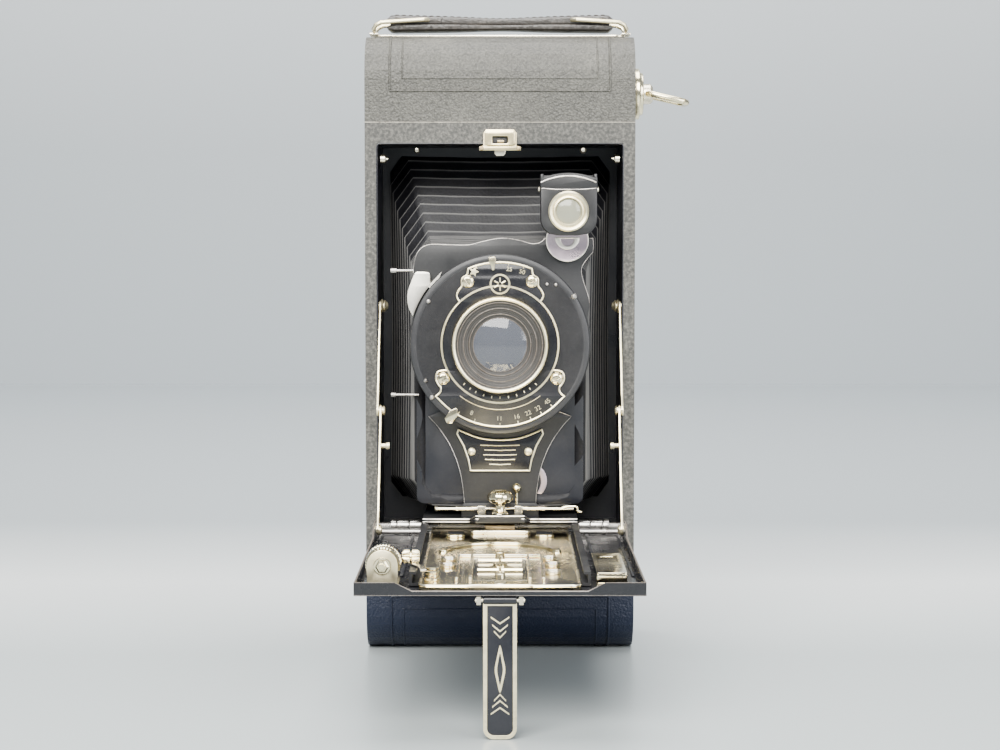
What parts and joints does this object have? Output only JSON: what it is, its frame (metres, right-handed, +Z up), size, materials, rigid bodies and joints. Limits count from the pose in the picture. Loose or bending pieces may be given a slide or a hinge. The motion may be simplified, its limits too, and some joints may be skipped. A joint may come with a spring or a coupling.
{
  "type": "folding roll-film camera",
  "caption": "Folding roll-film camera with a drop bed on a leg, leather bellows, round leaf shutter and swivelling finder.",
  "frame": {"origin": "centre of the flat lower end that the body stands on", "axes": "+Z up along the body, -Y the way the lens looks, +X towards the winding key"},
  "size_m": [0.1108, 0.177, 0.218],
  "materials": {
    "leather": "grained",
    "strap_leather": "worn",
    "bellows_leather": "matte",
    "crackle_paint": "crackle",
    "black_enamel": "gloss",
    "nickel": "satin",
    "steel": "satin",
    "glass": "polished",
    "mirror": "polished",
    "ruby_glass": "polished"
  },
  "bodies": {
    "camera_body": {"front_frame": "crackle_paint", "inner_well": "black_enamel", "top_end_cover": "leather", "bottom_end_cover": "leather", "inner_track": "nickel", "hinge_rod": "nickel", "film_roller_upper": "nickel", "film_roller_lower": "nickel", "key_boss": "nickel", "handle_plate": "nickel", "latch_plate": "nickel"},
    "back": {"back_cover": "leather", "red_window": "ruby_glass", "pressure_plate": "black_enamel"},
    "autographic_flap": {"autographic_door": "nickel"},
    "writing_stylus": {"stylus": "nickel"},
    "key": {"key_shaft": "nickel"},
    "bail": {"key_bail": "nickel"},
    "takeup": {"takeup_spool": "steel"},
    "supply": {"supply_spool": "steel"},
    "loop_left": {"handle_loop_left": "nickel"},
    "loop_right": {"handle_loop_right": "nickel"},
    "strap": {"handle_strap": "strap_leather"},
    "catch": {"latch_catch": "nickel"},
    "bed": {"bed_tray": "black_enamel", "bed_knuckle": "nickel", "scale_plate": "nickel", "bed_tripod_boss": "nickel", "focus_bracket": "nickel", "leg_pin": "nickel"},
    "wheel": {"focus_wheel": "nickel"},
    "pinion": {"focus_pinion": "nickel"},
    "focus_track": {"track_plate": "nickel", "track_rail_left": "black_enamel", "track_rail_right": "black_enamel"},
    "leg": {"leg": "black_enamel"},
    "upper_brace_left": {"brace_upper_left": "nickel"},
    "upper_brace_right": {"brace_upper_right": "nickel"},
    "lower_brace_left": {"brace_lower_left": "nickel"},
    "lower_brace_right": {"brace_lower_right": "nickel"},
    "bellows_fold_body": {"bellows": "bellows_leather"},
    "standard": {"standard_base": "black_enamel", "lens_board": "black_enamel", "cross_rod": "nickel", "shutter_housing": "black_enamel", "shutter_face": "black_enamel", "shutter_blades": "steel", "lens_barrel": "nickel", "front_lens": "glass", "rear_cell": "black_enamel"},
    "clamp": {"clamp_knob": "nickel"},
    "speed": {"speed_lever": "nickel"},
    "aperture": {"aperture_lever": "nickel"},
    "iris": {"iris_ring": "steel"},
    "release": {"release_lever": "nickel"},
    "finder": {"finder_body": "black_enamel", "finder_lens": "nickel", "finder_window": "glass", "finder_mirror": "mirror", "finder_swivel_plate": "nickel"}
  },
  "joints": [
    {"name": "bed_hinge", "type": "hinge", "parent": "camera_body", "child": "bed", "pos_m": [0, -0.0228, 0.0434], "axis": [1, 0, 0], "range_deg": [-90, 0]},
    {"name": "bellows_fold", "type": "slide", "parent": "camera_body", "child": "bellows_fold_body", "axis": [0, -1, 0], "range_m": [-0.027, 0], "deforming": ["bellows"]},
    {"name": "standard_pull", "type": "slide", "parent": "bellows_fold_body", "child": "standard", "axis": [0, -1, 0], "range_m": [0, 0.078], "deforming": ["bellows"]},
    {"name": "brace_top_left", "type": "hinge", "parent": "camera_body", "child": "upper_brace_left", "pos_m": [-0.04075, -0.0175, 0.118], "axis": [1, 0, 0], "range_deg": [0, 82.96]},
    {"name": "brace_foot_left", "type": "hinge", "parent": "bed", "child": "lower_brace_left", "pos_m": [-0.03975, -0.0528, 0.0462], "axis": [1, 0, 0], "range_deg": [0, 60.66]},
    {"name": "brace_top_right", "type": "hinge", "parent": "camera_body", "child": "upper_brace_right", "pos_m": [0.04075, -0.0175, 0.118], "axis": [1, 0, 0], "range_deg": [0, 82.96]},
    {"name": "brace_foot_right", "type": "hinge", "parent": "bed", "child": "lower_brace_right", "pos_m": [0.03975, -0.0528, 0.0462], "axis": [1, 0, 0], "range_deg": [0, 60.66]},
    {"name": "leg_hinge", "type": "hinge", "parent": "bed", "child": "leg", "pos_m": [0, -0.149, 0.0396], "axis": [-1, 0, 0], "range_deg": [-90, 0]},
    {"name": "focus_slide", "type": "slide", "parent": "bed", "child": "focus_track", "axis": [0, -1, 0], "range_m": [0, 0.0025]},
    {"name": "focus_turn", "type": "hinge", "parent": "bed", "child": "wheel", "pos_m": [-0.0335, -0.1348, 0.0481], "axis": [0, -1, 0], "range_deg": [0, 180]},
    {"name": "pinion_turn", "type": "hinge", "parent": "bed", "child": "pinion", "pos_m": [-0.026, -0.1258, 0.0484], "axis": [1, 0, 0], "range_deg": [0, 180]},
    {"name": "clamp_turn", "type": "hinge", "parent": "standard", "child": "clamp", "pos_m": [0, -0.0354, 0.053], "axis": [0, 0, 1], "range_deg": [0, 90]},
    {"name": "speed_turn", "type": "hinge", "parent": "standard", "child": "speed", "pos_m": [0, -0.039, 0.106], "axis": [0, 1, 0], "range_deg": [-12, 28]},
    {"name": "aperture_turn", "type": "hinge", "parent": "standard", "child": "aperture", "pos_m": [0, -0.039, 0.106], "axis": [0, -1, 0], "range_deg": [0, 68]},
    {"name": "iris_turn", "type": "hinge", "parent": "standard", "child": "iris", "pos_m": [0, -0.036, 0.106], "axis": [0, -1, 0], "range_deg": [0, 68]},
    {"name": "release_press", "type": "hinge", "parent": "standard", "child": "release", "pos_m": [-0.0225, -0.0312, 0.1275], "axis": [0, 1, 0], "range_deg": [0, 12], "stiffness_Nm_per_rad": 0.05},
    {"name": "finder_swivel", "type": "hinge", "parent": "standard", "child": "finder", "pos_m": [0.0224, -0.032, 0.1403], "axis": [0, 1, 0], "range_deg": [0, 90]},
    {"name": "key_turn", "type": "hinge", "parent": "camera_body", "child": "key", "pos_m": [0.048, 0, 0.1907], "axis": [1, 0, 0], "continuous": true},
    {"name": "takeup_turn", "type": "hinge", "parent": "camera_body", "child": "takeup", "pos_m": [0, 0, 0.1907], "axis": [1, 0, 0], "continuous": true},
    {"name": "supply_turn", "type": "hinge", "parent": "camera_body", "child": "supply", "pos_m": [0, 0, 0.0188], "axis": [1, 0, 0], "continuous": true},
    {"name": "key_bail_fold", "type": "hinge", "parent": "key", "child": "bail", "pos_m": [0.051, 0, 0.1907], "axis": [0, 1, 0], "range_deg": [0, 70]},
    {"name": "handle_raise", "type": "hinge", "parent": "camera_body", "child": "loop_left", "pos_m": [-0.0432, -0.0025, 0.2121], "axis": [0, -1, 0], "range_deg": [0, 18]},
    {"name": "handle_raise_right", "type": "hinge", "parent": "camera_body", "child": "loop_right", "pos_m": [0.0432, -0.0025, 0.2121], "axis": [0, 1, 0], "range_deg": [0, 18]},
    {"name": "strap_raise", "type": "slide", "parent": "camera_body", "child": "strap", "axis": [0, 0, 1], "range_m": [0, 0.0057]},
    {"name": "latch_press", "type": "slide", "parent": "camera_body", "child": "catch", "axis": [0, 1, 0], "range_m": [0, 0.0015], "stiffness_N_per_m": 400},
    {"name": "back_lift", "type": "slide", "parent": "camera_body", "child": "back", "axis": [0, 1, 0], "range_m": [0, 0.04]},
    {"name": "flap_hinge", "type": "hinge", "parent": "back", "child": "autographic_flap", "pos_m": [0, 0.0238, 0.05], "axis": [-1, 0, 0], "range_deg": [0, 110]},
    {"name": "stylus_pull", "type": "slide", "parent": "back", "child": "writing_stylus", "axis": [1, 0, 0], "range_m": [0, 0.03]}
  ],
  "couplings": [
    {"joint": "bellows_fold", "follows": "bed_hinge", "m_per_rad": 0.017189},
    {"joint": "brace_top_left", "follows": "bed_hinge", "ratio": -0.92174},
    {"joint": "brace_foot_left", "follows": "bed_hinge", "ratio": -0.67403},
    {"joint": "brace_top_right", "follows": "bed_hinge", "ratio": -0.92174},
    {"joint": "brace_foot_right", "follows": "bed_hinge", "ratio": -0.67403},
    {"joint": "focus_turn", "follows": "focus_slide", "rad_per_m": 1256.5},
    {"joint": "pinion_turn", "follows": "focus_slide", "rad_per_m": 1256.5},
    {"joint": "iris_turn", "follows": "aperture_turn", "ratio": 0.9999},
    {"joint": "takeup_turn", "follows": "key_turn", "ratio": 1},
    {"joint": "supply_turn", "follows": "key_turn", "ratio": 1},
    {"joint": "handle_raise_right", "follows": "handle_raise", "ratio": 0.9999},
    {"joint": "strap_raise", "follows": "handle_raise", "m_per_rad": 0.0179}
  ]
}
